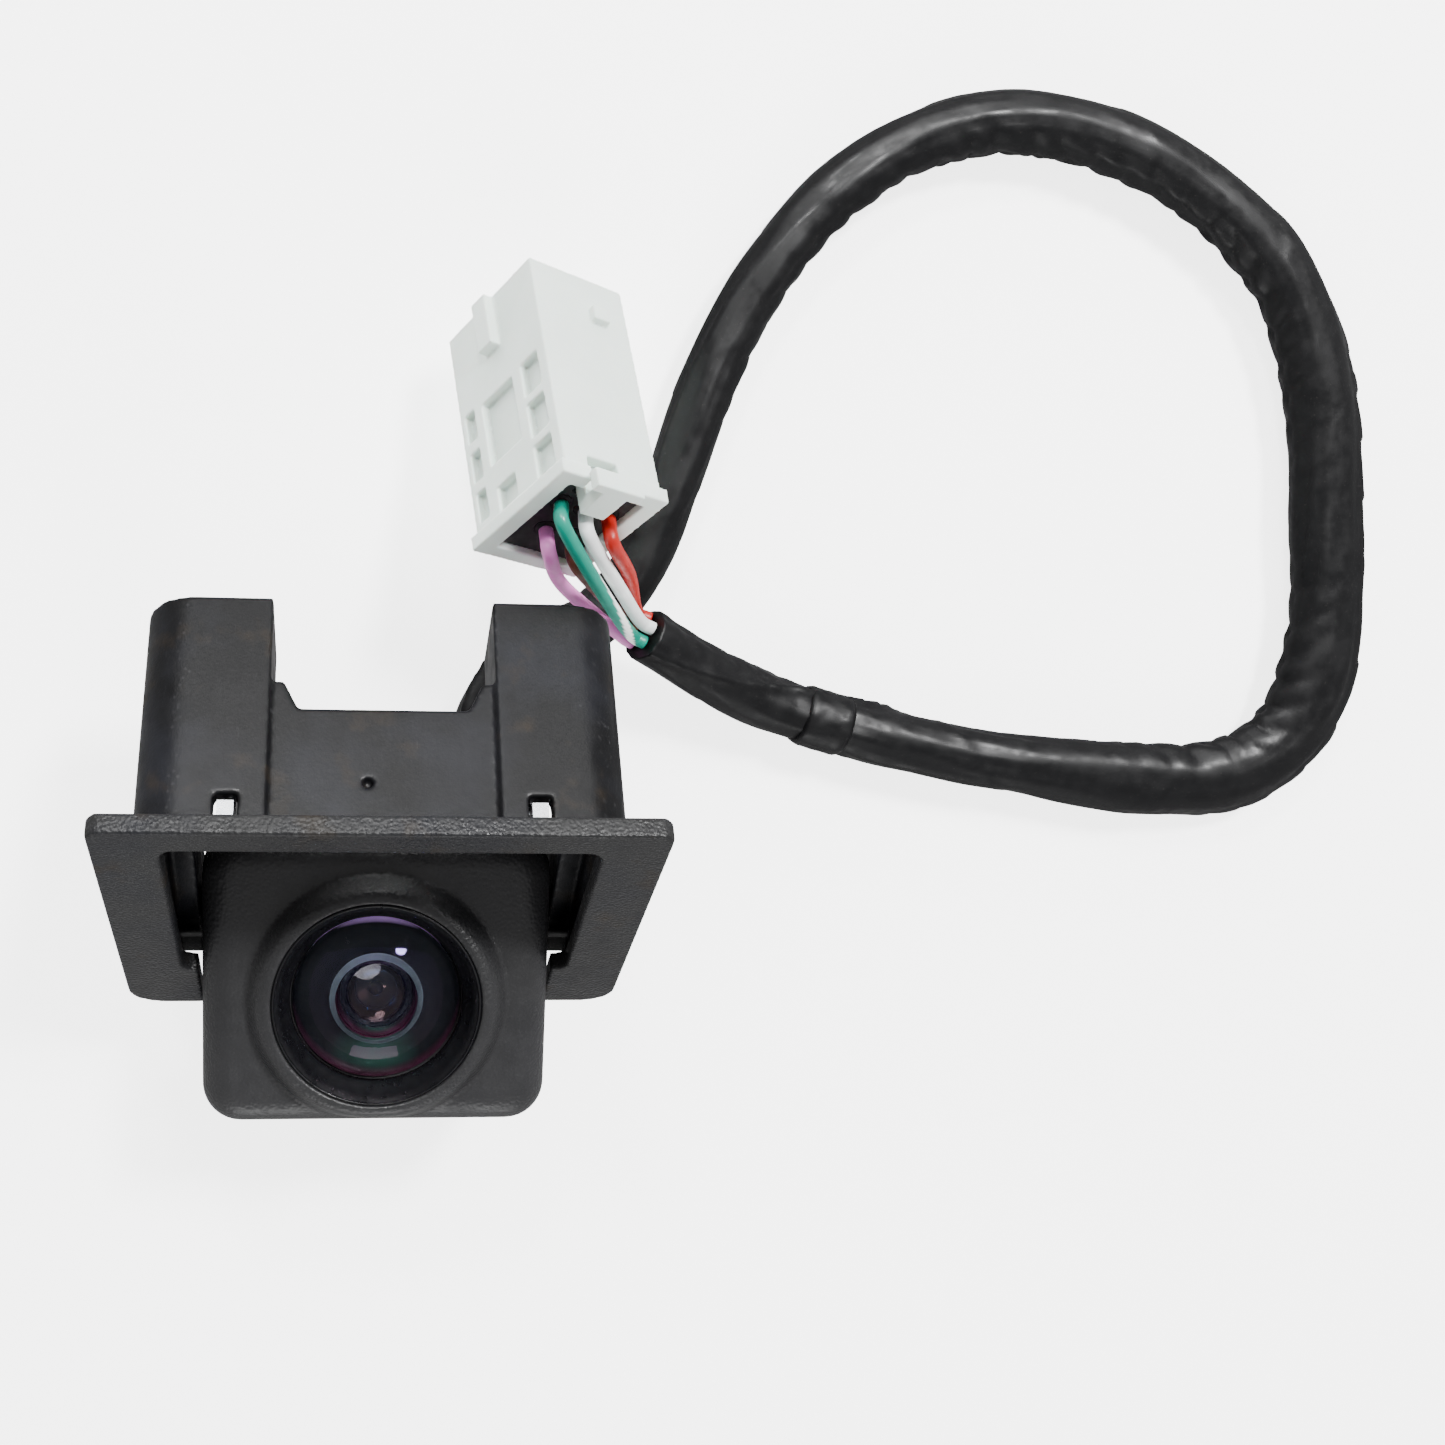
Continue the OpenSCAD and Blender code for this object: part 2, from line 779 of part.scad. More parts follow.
trim_bracket();
clip_spring_left();
clip_spring_right();
front_housing();
rear_housing();
housing_seal();
housing_screws();
lens_hood();
lens_front_element();
lens_barrel();
lens_o_ring();
lens_retaining_ring();
lens_middle_element();
lens_spacer();
aperture_stop();
lens_rear_element();
ir_filter();
image_sensor();
sensor_board();
board_header();
power_board();
processor_chip();
board_components();
board_screws();
mounting_screws();
cable_grommet();
harness();
wire_pink();
wire_green();
wire_white();
wire_brown();
wire_red();
connector_shell();
connector_insert();
connector_lock_tab();
connector_terminals();
connector_seals();
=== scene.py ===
"""Backup camera kit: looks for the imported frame.

Lengths are written in millimetres and turned into metres by MM. Z is the
lens axis, X runs across the trim flange, Y points from the lens to the
harness, and the ground is at Z = 0.
"""
import math

import bpy
from mathutils import Matrix, Vector, noise


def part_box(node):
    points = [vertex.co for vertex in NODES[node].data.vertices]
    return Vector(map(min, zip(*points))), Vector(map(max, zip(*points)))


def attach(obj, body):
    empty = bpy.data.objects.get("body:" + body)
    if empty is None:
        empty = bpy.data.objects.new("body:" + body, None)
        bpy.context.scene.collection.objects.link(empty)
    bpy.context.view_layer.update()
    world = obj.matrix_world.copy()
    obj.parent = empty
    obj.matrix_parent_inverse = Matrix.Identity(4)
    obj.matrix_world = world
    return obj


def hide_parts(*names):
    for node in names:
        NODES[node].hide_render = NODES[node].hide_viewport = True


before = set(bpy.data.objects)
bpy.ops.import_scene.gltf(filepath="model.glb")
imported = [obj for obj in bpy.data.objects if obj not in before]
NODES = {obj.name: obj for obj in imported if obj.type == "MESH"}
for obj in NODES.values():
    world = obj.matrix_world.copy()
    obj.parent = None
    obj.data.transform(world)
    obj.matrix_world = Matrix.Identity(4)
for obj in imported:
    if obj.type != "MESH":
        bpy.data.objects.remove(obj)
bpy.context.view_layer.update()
MM = 0.001

# ---------------------------------------------------------------- sizes

CASE_W = 31.6
CASE_FRONT = 12.4
CASE_BACK = 15.0
CASE_H = 20.0
CASE_R = 3.6
CASE_WALL = 1.5
FACE_ROLL = 3.0
SPLIT_Z = 8.6
BOSS_H = 2.0
BOSS_TOP_R = 9.6
BOSS_FOOT = 12.0
HOOD_R = 9.45
RIM_Z = 19.4
SEAT_Z = 18.6
BARREL_R = 8.2
GLASS_R = 7.6
GLASS_RISE = 3.0
BORE_R = 5.27
HOLLOW_R = 4.2
RING_Z = 17.3
MIDDLE_Z = 13.9
STOP_Z = 12.7
TILT = math.radians(40)
FLANGE_T = 1.8
FLANGE_TOP = Vector((0, 19.55, 38.3))

barrel_low, barrel_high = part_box("lens_barrel")
LENS_Y = (barrel_low[1] + barrel_high[1]) / 2 / MM

PLUG_MID = Vector((14.9, 40.2, 13.6))
PLUG_TURN = (
    Matrix.Rotation(math.radians(7), 3, "Z")
    @ Matrix.Rotation(math.radians(-35), 3, "X")
    @ Matrix.Rotation(math.radians(34), 3, "Y")
)
PLUG_L = 23.0
INSERT_RECESS = 0.6
INSERT_FACE = -PLUG_L / 2 + INSERT_RECESS
WIRE_R = 0.65

# The harness, from the grommet to the cut end of the wrap
HARNESS_D = 5.8
HARNESS_POINTS = [
    (9.5, 8.1, 4.2), (9.7, 10.2, 4), (11.8, 14.8, 3.3), (16, 18, 3),
    (20.4, 20.4, 3), (24.2, 24.2, 3), (26.8, 29.8, 3), (29.4, 38.2, 3),
    (32.4, 47.4, 3), (37.8, 57, 3), (46.8, 65.8, 3), (59.6, 70, 3),
    (73.4, 67.4, 3), (85.4, 60.2, 3), (92.4, 49.8, 3), (95.6, 35, 3),
    (97.2, 20.5, 3), (94.4, 10.4, 3), (86, 6, 3), (70, 6.8, 3),
    (53.2, 9.4, 3), (38.4, 13.6, 3.6), (31, 17.2, 6.4), (25.2, 20.6, 8.8),
]


def bracket_point(x, y, z):
    """A point in the bracket's own directions: Y back from the flange's
    face, Z up it from its top edge."""
    turned = Matrix.Rotation(-TILT, 3, "X") @ Vector((x, y, z))
    return turned + FLANGE_TOP + Vector((0, LENS_Y, 0))


def plug_point(x, y, z):
    return PLUG_MID + PLUG_TURN @ Vector((x, y, z))


# ---------------------------------------------------------------- curves

def spline(points, steps):
    """Catmull-Rom points through a list, with steps to each stretch."""
    p = [Vector(q) for q in points]
    p = [2 * p[0] - p[1]] + p + [2 * p[-1] - p[-2]]
    out = []
    for i in range(1, len(p) - 2):
        a, b, c, d = p[i - 1:i + 3]
        for s in range(steps):
            t = s / steps
            out.append((2 * b + (c - a) * t
                        + (2 * a - 5 * b + 4 * c - d) * t * t
                        + (3 * b - a - 3 * c + d) * t ** 3) / 2)
    out.append(p[-2])
    return out


def evenly(points, gap):
    """The same line with its points a set gap apart."""
    out = [points[0].copy()]
    need = gap
    for a, b in zip(points, points[1:]):
        length = (b - a).length
        done = 0.0
        while length - done >= need:
            done += need
            out.append(a.lerp(b, done / length))
            need = gap
        need -= length - done
    if (out[-1] - points[-1]).length < gap * 0.4:
        out[-1] = points[-1].copy()
    else:
        out.append(points[-1].copy())
    return out


def smoothed(points, passes):
    """Rounds a line, ends held."""
    for _ in range(passes):
        points = [points[0]] + [
            (a + 2 * b + c) / 4
            for a, b, c in zip(points, points[1:], points[2:])
        ] + [points[-1]]
    return points


def line_length(points):
    return sum((b - a).length for a, b in zip(points, points[1:]))


def frames_along(points):
    """For each point, the direction, the side and the up vector."""
    out = []
    for i in range(len(points)):
        a = points[max(i - 1, 0)]
        b = points[min(i + 1, len(points) - 1)]
        along = (b - a).normalized()
        side = along.cross(Vector((0, 0, 1))).normalized()
        out.append((along, side, side.cross(along)))
    return out


def smoothstep(a, b, x):
    t = min(max((x - a) / (b - a), 0.0), 1.0)
    return t * t * (3 - 2 * t)


# ---------------------------------------------------------------- meshes

def new_piece(name, verts, faces, smooth=True):
    """A mesh object, from points in millimetres."""
    mesh = bpy.data.meshes.new(name)
    mesh.from_pydata([Vector(v) * MM for v in verts], [], faces)
    mesh.update()
    for polygon in mesh.polygons:
        polygon.use_smooth = smooth
    piece = bpy.data.objects.new(name, mesh)
    bpy.context.scene.collection.objects.link(piece)
    return piece


def grid_faces(rows, columns, first=0, closed_rows=False):
    """Quads between rows of points that each close on themselves."""
    faces = []
    for i in range(rows if closed_rows else rows - 1):
        below = first + i * columns
        above = first + ((i + 1) % rows) * columns
        for k in range(columns):
            n = (k + 1) % columns
            faces.append((below + k, below + n, above + n, above + k))
    return faces


def lathe(name, profile, segments=128, closed=True):
    """Turns (radius, z) points round the lens axis. A radius of 0 at an
    open end closes it with a fan."""
    verts, faces = [], []
    ring_rows = [(r, z) for r, z in profile if r > 1e-6]
    for r, z in ring_rows:
        for k in range(segments):
            a = 2 * math.pi * k / segments
            verts.append((r * math.cos(a), LENS_Y + r * math.sin(a), z))
    faces += grid_faces(len(ring_rows), segments, 0, closed)
    for end, index in ((0, 0), (-1, len(ring_rows) - 1)):
        if profile[end][0] <= 1e-6:
            tip = len(verts)
            verts.append((0, LENS_Y, profile[end][1]))
            base = index * segments
            for k in range(segments):
                pair = (base + k, base + (k + 1) % segments)
                faces.append((tip,) + (pair[::-1] if end == 0 else pair))
    return new_piece(name, verts, faces)


def arc(cx, cz, r, start, end, steps):
    """Points of an arc in a lathe profile, angles in degrees."""
    return [
        (cx + r * math.cos(math.radians(a)), cz + r * math.sin(math.radians(a)))
        for a in (start + (end - start) * i / steps for i in range(steps + 1))
    ]


def applied(piece):
    """Applies a piece's modifiers."""
    graph = bpy.context.evaluated_depsgraph_get()
    mesh = bpy.data.meshes.new_from_object(piece.evaluated_get(graph))
    piece.modifiers.clear()
    old = piece.data
    piece.data = mesh
    bpy.data.meshes.remove(old)
    for polygon in piece.data.polygons:
        polygon.use_smooth = True
    return piece


def softened(node, name, voxel, passes):
    """A moulded-looking copy of a CAD node, with its edges rounded."""
    piece = bpy.data.objects.new(name, NODES[node].data.copy())
    bpy.context.scene.collection.objects.link(piece)
    remesh = piece.modifiers.new("remesh", "REMESH")
    remesh.mode = "VOXEL"
    remesh.voxel_size = voxel * MM
    smooth = piece.modifiers.new("smooth", "SMOOTH")
    smooth.factor = 0.5
    smooth.iterations = passes
    applied(piece)
    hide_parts(node)
    return piece


def tube(name, points, radius, sides, shape=None):
    """A swept tube with closed ends. shape(distance, angle) returns the
    radius as (across, up) factors and a push outward."""
    frames = frames_along(points)
    verts, distance = [], 0.0
    for i, (centre, (along, side, up)) in enumerate(zip(points, frames)):
        if i:
            distance += (centre - points[i - 1]).length
        for k in range(sides):
            a = 2 * math.pi * k / sides
            wide, tall, push = shape(distance, a) if shape else (1, 1, 0)
            verts.append(
                centre
                + side * math.cos(a) * (radius * wide + push)
                + up * math.sin(a) * (radius * tall + push))
    faces = grid_faces(len(points), sides)
    faces.append(tuple(range(sides))[::-1])
    last = (len(points) - 1) * sides
    faces.append(tuple(range(last, last + sides)))
    piece = new_piece(name, verts, faces)
    for polygon in piece.data.polygons[-2:]:
        polygon.use_smooth = False
    return piece


# ---------------------------------------------------------------- materials

# A mix node has a set of sockets for each data type. These are a colour's.
MIX_COLOR_INPUTS = (0, 6, 7)
MIX_COLOR_OUTPUT = 2


class Look:
    """A procedural material on a Principled shader."""

    def __init__(self, name, color, roughness, **values):
        self.material = bpy.data.materials.new(name)
        self.material.use_nodes = True
        self.tree = self.material.node_tree
        self.shader = self.tree.nodes["Principled BSDF"]
        self.shader.inputs["Base Color"].default_value = (*color, 1)
        self.shader.inputs["Roughness"].default_value = roughness
        for key, value in values.items():
            self.shader.inputs[key.replace("_", " ")].default_value = value
        self.place = self.tree.nodes.new("ShaderNodeTexCoord").outputs[
            "Object"]
        self.normal = None

    def link(self, output, target):
        self.tree.links.new(output, target)

    def node(self, kind, **settings):
        made = self.tree.nodes.new(kind)
        for key, value in settings.items():
            if hasattr(made, key):
                setattr(made, key, value)
            else:
                made.inputs[key.replace("_", " ")].default_value = value
        return made

    def stretched(self, scale, turn=(0, 0, 0)):
        """Object coordinates, stretched and turned."""
        mapping = self.node("ShaderNodeMapping")
        mapping.inputs["Scale"].default_value = scale
        mapping.inputs["Rotation"].default_value = turn
        self.link(self.place, mapping.inputs["Vector"])
        return mapping.outputs["Vector"]

    def noise(self, size, detail=4.0, place=None, rough=0.55):
        """Noise with features of a size in millimetres."""
        made = self.node("ShaderNodeTexNoise", Detail=detail,
                         Roughness=rough, Scale=1 / (size * MM))
        self.link(place or self.place, made.inputs["Vector"])
        return made.outputs["Fac"]

    def cells(self, size):
        """Rounded cells of a size in millimetres."""
        made = self.node("ShaderNodeTexVoronoi", feature="SMOOTH_F1",
                         Scale=1 / (size * MM))
        self.link(self.place, made.inputs["Vector"])
        return made.outputs["Distance"]

    def ramp(self, factor, low, high, low_at=0.35, high_at=0.65):
        """Turns a factor into a value between two numbers."""
        made = self.node("ShaderNodeMapRange")
        for key, value in (("From Min", low_at), ("From Max", high_at),
                           ("To Min", low), ("To Max", high)):
            made.inputs[key].default_value = value
        self.link(factor, made.inputs["Value"])
        return made.outputs["Result"]

    def rough_by(self, factor, low, high, low_at=0.35, high_at=0.65):
        self.link(self.ramp(factor, low, high, low_at, high_at),
                  self.shader.inputs["Roughness"])

    def bump(self, height, depth, strength=1.0):
        """Adds a bump of a depth in millimetres."""
        made = self.node("ShaderNodeBump", Distance=depth * MM,
                         Strength=strength)
        self.link(height, made.inputs["Height"])
        if self.normal:
            self.link(self.normal, made.inputs["Normal"])
        self.normal = made.outputs["Normal"]
        self.link(self.normal, self.shader.inputs["Normal"])

    def mix_color(self, factor, other):
        """Blends a second colour over the first by a factor."""
        made = self.node("ShaderNodeMix", data_type="RGBA")
        share, below, above = (made.inputs[i] for i in MIX_COLOR_INPUTS)
        first = self.shader.inputs["Base Color"]
        if first.is_linked:
            self.link(first.links[0].from_socket, below)
        else:
            below.default_value = first.default_value
        above.default_value = (*other, 1)
        self.link(factor, share)
        self.link(made.outputs[MIX_COLOR_OUTPUT], first)

    def distance_from(self, spot):
        """Distance from a point given in millimetres, in metres."""
        away = self.node("ShaderNodeVectorMath", operation="DISTANCE")
        self.link(self.place, away.inputs[0])
        away.inputs[1].default_value = Vector(spot) * MM
        return away.outputs["Value"]

    def edge_wear(self, color, amount=1.0, low=0.53, high=0.6):
        """Paler convex edges."""
        geometry = self.node("ShaderNodeNewGeometry")
        worn = self.ramp(geometry.outputs["Pointiness"], 0, amount, low, high)
        patchy = self.ramp(self.noise(2.5, 3), 0.2, 1.0)
        both = self.node("ShaderNodeMath", operation="MULTIPLY")
        self.link(worn, both.inputs[0])
        self.link(patchy, both.inputs[1])
        self.mix_color(both.outputs[0], color)


def bracket_plastic():
    """Fine pebble grain on the flange, smoother plastic on the box."""
    look = Look("bracket_black", (0.015, 0.015, 0.0155), 0.42,
                Specular_IOR_Level=0.24)
    back = look.node("ShaderNodeVectorMath", operation="DOT_PRODUCT")
    look.link(look.place, back.inputs[0])
    back.inputs[1].default_value = (0, math.cos(TILT), -math.sin(TILT))
    face = bracket_point(0, 0, 0) * MM
    start = face.y * math.cos(TILT) - face.z * math.sin(TILT)
    box_from = start + (FLANGE_T + 0.1) * MM
    box_to = start + (FLANGE_T + 0.3) * MM
    on_box = look.ramp(back.outputs["Value"], 0, 1, box_from, box_to)
    # Painted shade: the box, the same plastic as the flange, is coloured darker
    # to stand in for its shade.
    look.mix_color(on_box, (0.0035, 0.0035, 0.004))
    pebbles = look.node("ShaderNodeMath", operation="MULTIPLY")
    look.link(look.ramp(on_box, 1.0, 0.1, 0, 1), pebbles.inputs[0])
    look.link(look.cells(0.27), pebbles.inputs[1])
    look.bump(pebbles.outputs[0], 0.08, 1.0)
    look.bump(look.noise(0.16, 4), 0.012, 0.7)
    scratched = look.stretched((1, 0.12, 0.12), (0.2, 0, 0.1))
    scratches = look.noise(0.35, 6, scratched, 0.7)
    look.bump(look.ramp(scratches, 0, 1, 0.55, 0.75), 0.006, 0.4)
    look.rough_by(look.noise(3.0, 5), 0.28, 0.46)
    look.mix_color(look.ramp(look.noise(8.0, 4), 0, 0.7, 0.45, 0.7),
                   (0.010, 0.0105, 0.014))
    look.mix_color(look.ramp(look.noise(4.5, 5), 0, 0.6, 0.58, 0.75),
                   (0.022, 0.015, 0.008))
    look.mix_color(look.ramp(scratches, 0, 0.5, 0.66, 0.8),
                   (0.04, 0.04, 0.042))
    look.edge_wear((0.05, 0.05, 0.053), 0.5, 0.58, 0.74)
    return look.material


def case_plastic():
    look = Look("case_black", (0.018, 0.018, 0.0188), 0.42,
                Specular_IOR_Level=0.45)
    look.bump(look.cells(0.3), 0.06, 1.0)
    look.bump(look.noise(0.16, 3), 0.02, 0.8)
    look.rough_by(look.noise(2.2, 5), 0.32, 0.48)
    look.mix_color(look.ramp(look.noise(9.0, 4), 0, 0.4), (0.016, 0.016, 0.018))
    return look.material


def gloss_black():
    look = Look("gloss_black", (0.004, 0.004, 0.005), 0.3)
    look.rough_by(look.noise(1.2, 4), 0.26, 0.38)
    look.bump(look.noise(0.14, 3), 0.008, 0.6)
    return look.material


def lens_black():
    look = Look("lens_black", (0.005, 0.005, 0.006), 0.5)
    look.bump(look.noise(0.3, 3), 0.01, 0.5)
    return look.material


def lens_glass(name, film, tint):
    """Coated glass: its film gives the coloured reflections."""
    look = Look(name, tint, 0.02, Transmission_Weight=1.0, IOR=1.56,
                Specular_Tint=(0.85, 0.7, 1.0, 1))
    look.shader.inputs["Thin Film Thickness"].default_value = film
    look.shader.inputs["Thin Film IOR"].default_value = 1.38
    look.bump(look.noise(6.0, 1), 0.004, 0.2)
    return look.material


def edge_paint_with_painted_reflections():
    """Black paint on the front glass's flat rim, with painted reflections in
    place of its coatings' tints: teal near the hollow's -Y side, magenta
    toward the edge on that side, and a violet arc at the +Y edge. The
    colour, painted reflections included, also glows faintly as emission."""
    look = Look("edge_paint_with_painted_reflections", (0.003, 0.004, 0.007), 0.5,
                Specular_IOR_Level=0.2)
    # Painted reflections: teal, magenta and violet patches mixed into the
    # paint's colour by distance from a point.
    for spot, near, far, color in (
            ((0, LENS_Y - 5.0, SEAT_Z), 3.8, 0.4, (0.014, 0.06, 0.045)),
            ((0, LENS_Y + 1.2, SEAT_Z), 7.2, 8.6, (0.08, 0.012, 0.04)),
            ((0, LENS_Y - 4.0, SEAT_Z), 10.6, 11.2, (0.75, 0.45, 1.0))):
        look.mix_color(look.ramp(look.distance_from(spot), 0, 1, near * MM,
                                 far * MM), color)
    # Painted glow: the colour, with its painted reflections, is also emitted.
    look.link(look.shader.inputs["Base Color"].links[0].from_socket,
              look.shader.inputs["Emission Color"])
    look.shader.inputs["Emission Strength"].default_value = 0.16
    look.bump(look.noise(0.2, 4), 0.02, 0.5)
    return look.material


def silver_rim():
    """The bright ring round the hollow, with painted shade darkening it
    away from its lit side.
    """
    look = Look("silver_rim", (0.42, 0.52, 0.6), 0.36, Metallic=0.3)
    # Painted shade: darker with distance from the lit side of the ring.
    away = look.distance_from((-2, LENS_Y + 4, SEAT_Z))
    look.mix_color(look.ramp(away, 0, 0.8, 2 * MM, 6.5 * MM),
                   (0.1, 0.13, 0.15))
    look.rough_by(look.noise(0.3, 3), 0.3, 0.5)
    look.bump(look.noise(0.1, 2), 0.004, 0.5)
    return look.material


def stop_plate():
    look = Look("stop_plate", (0.10, 0.09, 0.075), 0.35)
    look.rough_by(look.noise(0.4, 3), 0.3, 0.45)
    look.bump(look.noise(0.15, 2), 0.004, 0.5)
    return look.material


def anodised_ring():
    look = Look("anodised_blue", (0.03, 0.036, 0.046), 0.3, Metallic=0.5)
    look.rough_by(look.noise(0.3, 4), 0.22, 0.42)
    look.bump(look.noise(0.08, 2), 0.004, 0.5)
    return look.material


def bright_steel():
    look = Look("bright_steel", (0.72, 0.74, 0.77), 0.25, Metallic=1.0)
    brushed = look.stretched((1, 14, 1))
    grain = look.noise(0.6, 4, brushed)
    look.rough_by(grain, 0.18, 0.4)
    look.bump(grain, 0.006, 0.4)
    return look.material


def soft_rubber():
    look = Look("soft_rubber", (0.007, 0.007, 0.008), 0.62)
    look.bump(look.noise(0.25, 5), 0.02, 0.6)
    look.rough_by(look.noise(2.0, 4), 0.52, 0.72)
    return look.material


def circuit_board():
    look = Look("solder_mask", (0.012, 0.09, 0.04), 0.3)
    traces = look.node("ShaderNodeTexBrick", Scale=1 / (2.4 * MM))
    look.link(look.place, traces.inputs["Vector"])
    look.mix_color(look.ramp(traces.outputs["Fac"], 0, 0.7, 0, 1),
                   (0.03, 0.17, 0.07))
    look.bump(traces.outputs["Fac"], 0.02, 0.5)
    return look.material


def chip_black():
    look = Look("chip_black", (0.02, 0.02, 0.023), 0.45)
    look.bump(look.noise(0.15, 3), 0.008, 0.5)
    return look.material


def component_body():
    look = Look("component_body", (0.4, 0.31, 0.2), 0.5)
    look.mix_color(look.ramp(look.noise(0.8, 3), 0, 0.6), (0.25, 0.18, 0.11))
    look.bump(look.noise(0.2, 3), 0.01, 0.4)
    return look.material


def wrap_tape():
    look = Look("wrap_tape", (0.0035, 0.0035, 0.004), 0.4,
                Specular_IOR_Level=0.3)
    look.bump(look.noise(2.6, 3), 0.08, 0.3)
    look.bump(look.noise(0.3, 2), 0.008, 0.4)
    look.rough_by(look.noise(1.6, 5), 0.34, 0.54)
    dust = look.noise(0.35, 6, rough=0.7)
    look.mix_color(look.ramp(dust, 0, 0.5, 0.62, 0.8), (0.07, 0.065, 0.06))
    return look.material


def plug_plastic():
    look = Look("plug_grey", (0.72, 0.80, 0.75), 0.42,
                Subsurface_Weight=0.08)
    look.shader.inputs["Subsurface Scale"].default_value = 0.001
    look.bump(look.noise(0.3, 4), 0.01, 0.5)
    look.rough_by(look.noise(2.5, 4), 0.36, 0.54)
    look.mix_color(look.ramp(look.noise(5.0, 4), 0, 0.5), (0.64, 0.72, 0.67))
    # Painted shade: hollows and creases, where pointiness is low, are coloured
    # darker.
    geometry = look.node("ShaderNodeNewGeometry")
    look.mix_color(look.ramp(geometry.outputs["Pointiness"], 0.75, 0,
                             0.42, 0.49), (0.3, 0.35, 0.31))
    return look.material


def insert_plastic():
    look = Look("insert_black", (0.008, 0.008, 0.009), 0.45)
    look.bump(look.noise(0.3, 3), 0.012, 0.5)
    look.rough_by(look.noise(1.5, 3), 0.38, 0.56)
    return look.material


def wire_jacket(name, color, stripe=None):
    look = Look(name, color, 0.36)
    look.bump(look.noise(0.5, 3), 0.012, 0.4)
    look.rough_by(look.noise(1.2, 3), 0.3, 0.46)
    shade = tuple(c * 0.78 for c in color)
    look.mix_color(look.ramp(look.noise(1.8, 3), 0, 0.5), shade)
    if stripe:
        mark = look.node("ShaderNodeAttribute", attribute_name="stripe")
        look.mix_color(mark.outputs["Fac"], stripe)
    return look.material


def plated_terminal():
    look = Look("plated_terminal", (0.78, 0.6, 0.3), 0.3, Metallic=1.0)
    look.rough_by(look.noise(0.5, 3), 0.22, 0.42)
    return look.material


def filter_glass():
    look = Look("filter_glass", (0.5, 0.75, 0.7), 0.03,
                Transmission_Weight=1.0, IOR=1.5)
    look.bump(look.noise(3.0, 1), 0.002, 0.2)
    return look.material


def floor_look():
    look = Look("pale_floor", (0.9, 0.9, 0.9), 0.7, Specular_IOR_Level=0.2,
                Emission_Color=(1, 1, 1, 1), Emission_Strength=3.4)
    look.rough_by(look.noise(40.0, 3), 0.65, 0.75)
    return look.material


BRACKET = bracket_plastic()
CASE = case_plastic()
GLOSS = gloss_black()
LENS_BLACK = lens_black()
FRONT_GLASS = lens_glass("front_glass", 105, (0.8, 0.8, 0.86))
INNER_GLASS = lens_glass("inner_glass", 205, (0.78, 0.8, 0.72))
RING = anodised_ring()
EDGE_PAINT_WITH_PAINTED_REFLECTIONS = edge_paint_with_painted_reflections()
RIM_SILVER = silver_rim()
STOP_PLATE = stop_plate()
STEEL = bright_steel()
RUBBER = soft_rubber()
BOARD = circuit_board()
CHIP = chip_black()
COMPONENT = component_body()
TAPE = wrap_tape()
PLUG = plug_plastic()
INSERT = insert_plastic()
TERMINAL = plated_terminal()
FILTER = filter_glass()


def dress(piece, material, body="camera"):
    """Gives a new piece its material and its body."""
    piece.data.materials.clear()
    piece.data.materials.append(material)
    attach(piece, body)
    return piece


def dress_node(node, material):
    """Gives a CAD node a better material."""
    for holder in NODES[node].material_slots:
        holder.link = "OBJECT"
        holder.material = material


# ---------------------------------------------------------------- camera

def add_camera():
    """The camera, above the harness and looking down past the lens."""
    data = bpy.data.cameras.new("camera")
    data.sensor_width = 36
    data.lens = 39.9
    data.shift_x = 0.154
    data.shift_y = 0.019
    data.clip_start = 0.005
    camera = bpy.data.objects.new("camera", data)
    camera.location = (-3.42 * MM, 35.85 * MM, 159.2 * MM)
    forward = Vector((0.0983, -0.174, -0.9798)).normalized()
    right = Vector((0.9951, 0.0297, 0.0945))
    up = right.cross(forward).normalized()
    right = forward.cross(up)
    camera.rotation_euler = Matrix(
        (right, up, -forward)).transposed().to_euler()
    bpy.context.scene.collection.objects.link(camera)
    bpy.context.scene.camera = camera


# ---------------------------------------------------------------- harness

HARNESS_STEP = 0.45     # gap between the rings of the mesh
HARNESS_SIDES = 48
BEND_REACH = 12         # rings each way that a bend is measured over
LAP_LENGTH = 17.0       # one turn of the tape

# How wide the wrap is, by the share of its length from the grommet
HARNESS_WIDTHS = [
    (0.0, 0.95), (0.28, 0.96), (0.42, 1.04), (0.55, 1.14), (0.68, 1.3),
    (0.76, 1.28), (0.84, 1.02), (0.93, 0.98), (1.0, 0.9),
]


def table_value(table, x):
    """A smooth value between the rows of a table."""
    for (x0, y0), (x1, y1) in zip(table, table[1:]):
        if x <= x1:
            return y0 + (y1 - y0) * smoothstep(x0, x1, x)
    return table[-1][1]


def underside(angle):
    """1 on the flattened bottom of the wrap, 0 on its top and sides."""
    return smoothstep(-0.3, -0.9, math.sin(angle))


